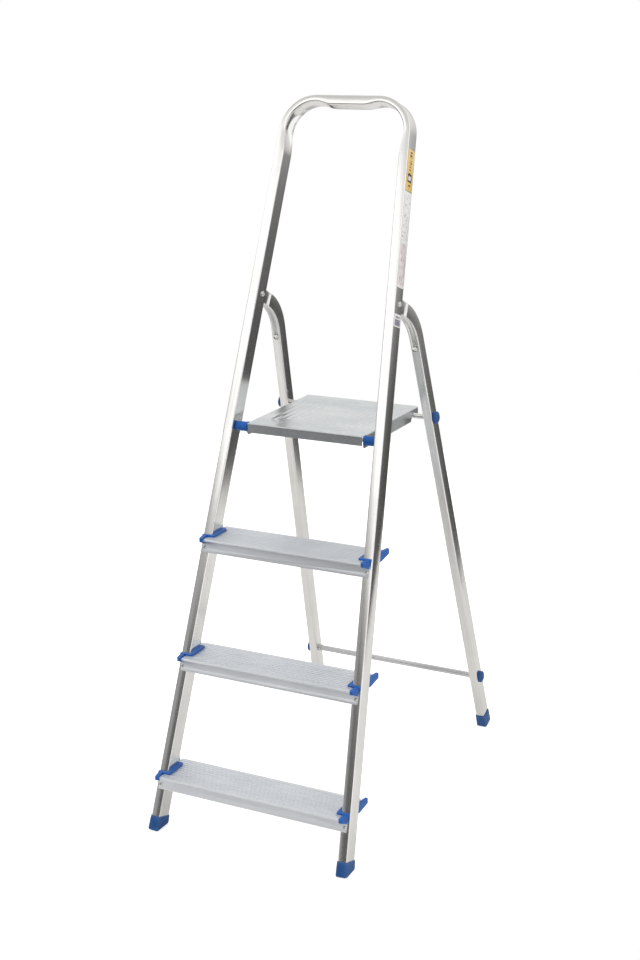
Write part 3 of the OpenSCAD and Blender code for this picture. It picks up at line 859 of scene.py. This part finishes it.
def cut_saddle(tray, side):
    """Cut the open slot that drops over the rest rod out of one side flange."""
    half, flare, below, steps = 6.5, 9, 3, 12
    span = sorted((side * (PLATFORM_W / 2 - 4), side * (PLATFORM_W / 2 + 4)))
    rod = on_leg(RIGHT, 0, LEG_Y, REST_ROD_Z) / MM
    rod_y = rod.y + MID_Y - PLATFORM_Y
    rod_z = rod.z - PLATFORM_H
    outline = [(rod_y + half * cos(pi * k / steps), rod_z + half * sin(pi * k / steps))
               for k in range(steps + 1)]
    outline += [(rod_y - half - flare, -SIDE_FLANGE - below),
                (rod_y + half, -SIDE_FLANGE - below)]
    count = len(outline)
    points = [on_platform(x, y, z) for x in span for y, z in outline]
    faces = [tuple(range(count)), tuple(reversed(range(count, 2 * count)))]
    faces += [(k, (k + 1) % count, (k + 1) % count + count, k + count)
              for k in range(count)]
    cut(tray, add_mesh("cutter", points, faces))


# ---- Feet -----------------------------------------------------------------------------

# How far the front boots' soles clear the floor at the toe
TOE_RISE = 2


def finer(outline):
    """The same outline with points added about every 4 mm along its straight sides."""
    longest = 4.0
    points = []
    for (x0, y0), (x1, y1) in zip(outline, outline[1:] + outline[:1]):
        parts = max(1, int(sqrt((x1 - x0) ** 2 + (y1 - y0) ** 2) / longest))
        points += [(x0 + (x1 - x0) * k / parts, y0 + (y1 - y0) * k / parts)
                   for k in range(parts)]
    return points


def boot(name, body, place, size, sole_at, top, node):
    """A moulded boot: thin at its top edge, thicker and rounded at the sole. sole_at gives
    the sole's level under a point, and place turns a point and a level into the scene."""
    sole_wall, sole_r, sole_steps = 2.4, 3.2, 5
    x0, x1, y0, y1 = size
    rings = []

    def ring(wall, level):
        outline = round_outline(x0 - wall, x1 + wall, y0 - wall, y1 + wall,
                                TUBE_CORNER + max(wall, 0))
        rings.append([place(u, w, level(u, w)) for u, w in finer(outline)])

    for k in range(sole_steps + 1):
        turn = pi / 2 * k / sole_steps
        inset, rise = sole_r * (1 - sin(turn)), sole_r * (1 - cos(turn))
        ring(sole_wall - inset, lambda u, w, rise=rise: sole_at(u, w) + rise)
    for part in (0.35, 0.7):
        ring(sole_wall - 0.5 * part,
             lambda u, w, part=part: sole_at(u, w) * (1 - part) + top * part)
    for wall, below in ((1.8, 0.6), (1.6, 0.15), (1.2, 0), (0.15, 0.1), (0.1, 4)):
        ring(wall, lambda u, w, below=below: top - below)
    loft(name, body, "blue_plastic", SHADED_BLUE, rings, replaces=[node])


def front_sole(u, w):
    """How far up the stile the floor is, under a point of its section."""
    level = w * tan(FRONT_LEAN) - u * sin(SIDE_SLOPE)
    return max(TOE_RISE, level / cos(SIDE_SLOPE))


def rear_sole(u, d):
    """How far up the leg the floor is, or its square-cut sole where that is higher."""
    level = (-HINGE_Z - d * sin(REAR_LEAN)) / cos(REAR_LEAN)
    return max(REAR_SOLE, (level - u * sin(SIDE_SLOPE)) / cos(SIDE_SLOPE))


def build_feet():
    for word, side in SIDES.items():
        def front_place(u, w, t, side=side):
            return on_stile(side, u, w, t)

        def rear_place(u, d, t, side=side):
            return on_leg(side, u, d, t)

        boot("front_boot_" + word, "front", front_place, (-STILE_W, 0, 0, STILE_D),
             front_sole, FOOT_LEN, "foot_front_" + word)
        boot("rear_boot_" + word, "rear", rear_place,
             (-LEG_W / 2, LEG_W / 2, LEG_Y - LEG_D / 2, LEG_Y + LEG_D / 2),
             rear_sole, REAR_SOLE + FOOT_LEN, "foot_rear_" + word)


# ---- Stickers -------------------------------------------------------------------------

def sticker(name, node, slot, material, start, end):
    """A thin film with round corners on the right stile's outer face."""
    margin, corner, film = 3.5, 1.5, 0.3
    outline = round_outline(margin, STILE_D - margin, start, end, corner)
    rings, uvs = [], []
    for lift, inset in ((0.05, 0.0), (film * 0.7, 0.0), (film, 0.2)):
        ring = []
        for w, t in outline:
            w += inset if w < STILE_D / 2 else -inset
            t += inset if t < (start + end) / 2 else -inset
            ring.append(on_stile(RIGHT, lift, w, t))
            uvs.append((t * MM, w * MM))
        rings.append(ring)
    loft(name, "front", slot, material, rings, uvs, replaces=[node])


# ---- Assembly -------------------------------------------------------------------------

build_front_frame()
for word, side in SIDES.items():
    build_rear_leg(word, side)
build_platform()
build_rivets()
build_hinge_pins()
build_feet()
sticker("name_film", "name_sticker", "yellow_sticker", NAME_FILM, 1388, 1472)
sticker("safety_film", "safety_sticker", "white_sticker", SAFETY_FILM, 1190, 1386)
sticker("code_film", "code_sticker", "white_sticker", CODE_FILM, 1110, 1136)

# CAD shapes that only need rounded edges
for tread in TREADS:
    soften(f"tread_{tread}", "front", TREAD_METAL, 0.3, segments=2)
    for word in SIDES:
        soften(f"tread_clip_{tread}_{word}", "front", BLUE, 1.0)
for word in SIDES:
    soften("platform_bush_" + word, "front", BLUE, 0.8)
    # The caps take the darker copy of the blue plastic, which is painted shade.
    soften("rest_rod_cap_" + word, "rear", SHADED_BLUE, 0.8)
    soften("crossbar_cap_" + word, "rear", SHADED_BLUE, 0.8)
    soften("crossbar_collar_" + word, "rear", PLATED, 0.7)
soften("platform_pivot_rod", "front", PLATED, 0.5)
soften("pivot_rod_retainers", "front", PLATED, 0.3)
soften("platform_rest_rod", "rear", PLATED, 0.4)
soften("rear_crossbar", "rear", BAR_METAL, 0.4)
